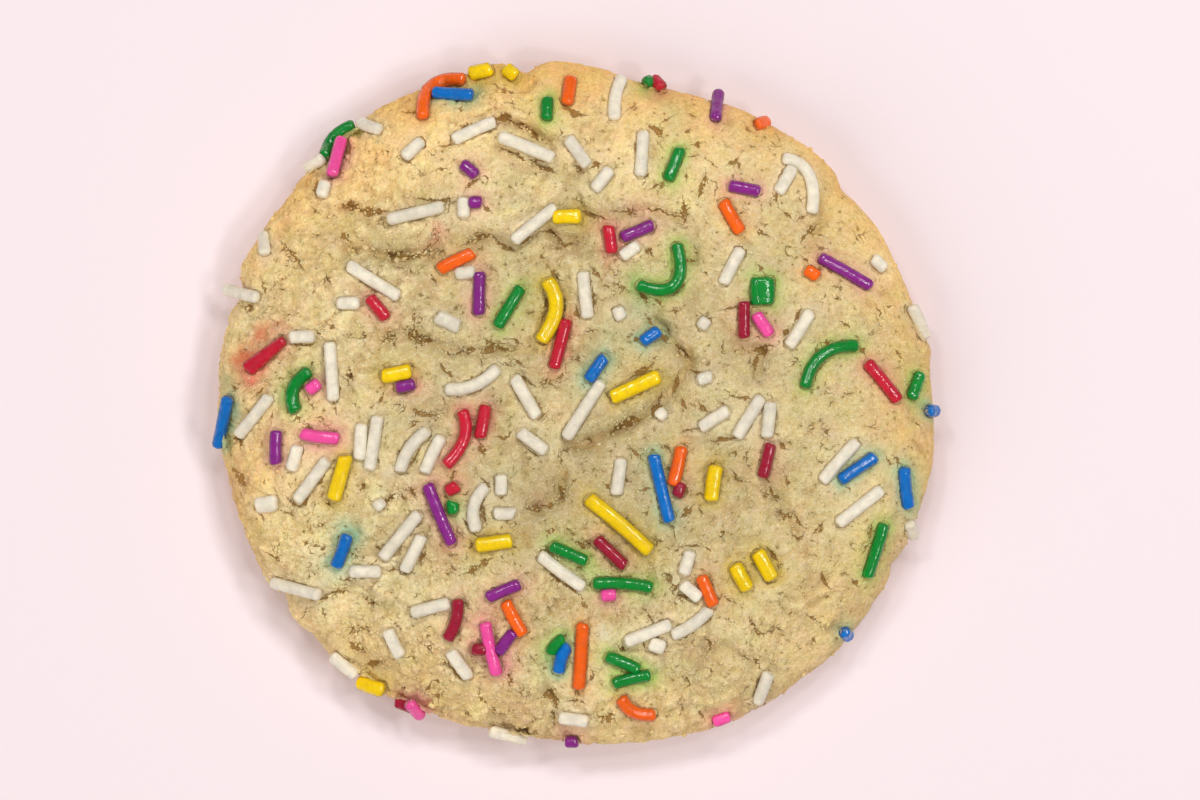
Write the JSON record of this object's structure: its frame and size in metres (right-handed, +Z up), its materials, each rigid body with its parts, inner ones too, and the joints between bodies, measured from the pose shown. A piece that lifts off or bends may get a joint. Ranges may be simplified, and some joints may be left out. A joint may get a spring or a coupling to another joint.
{
  "type": "sugar cookie",
  "caption": "Round soft-baked sugar cookie with a domed, creased top, an uneven rim, a flat base and coloured sugar sprinkles pressed into the dough.",
  "frame": {"origin": "centre of the flat base, on the surface that the cookie rests on", "axes": "+X along the cookie's longest width, +Y to the far side as seen in the reference view from above, +Z up through the sprinkled top"},
  "size_m": [0.079, 0.0743, 0.0129],
  "materials": {
    "baked_dough": "matte"
  },
  "bodies": {
    "root": {"cookie": "baked_dough"}
  },
  "joints": []
}
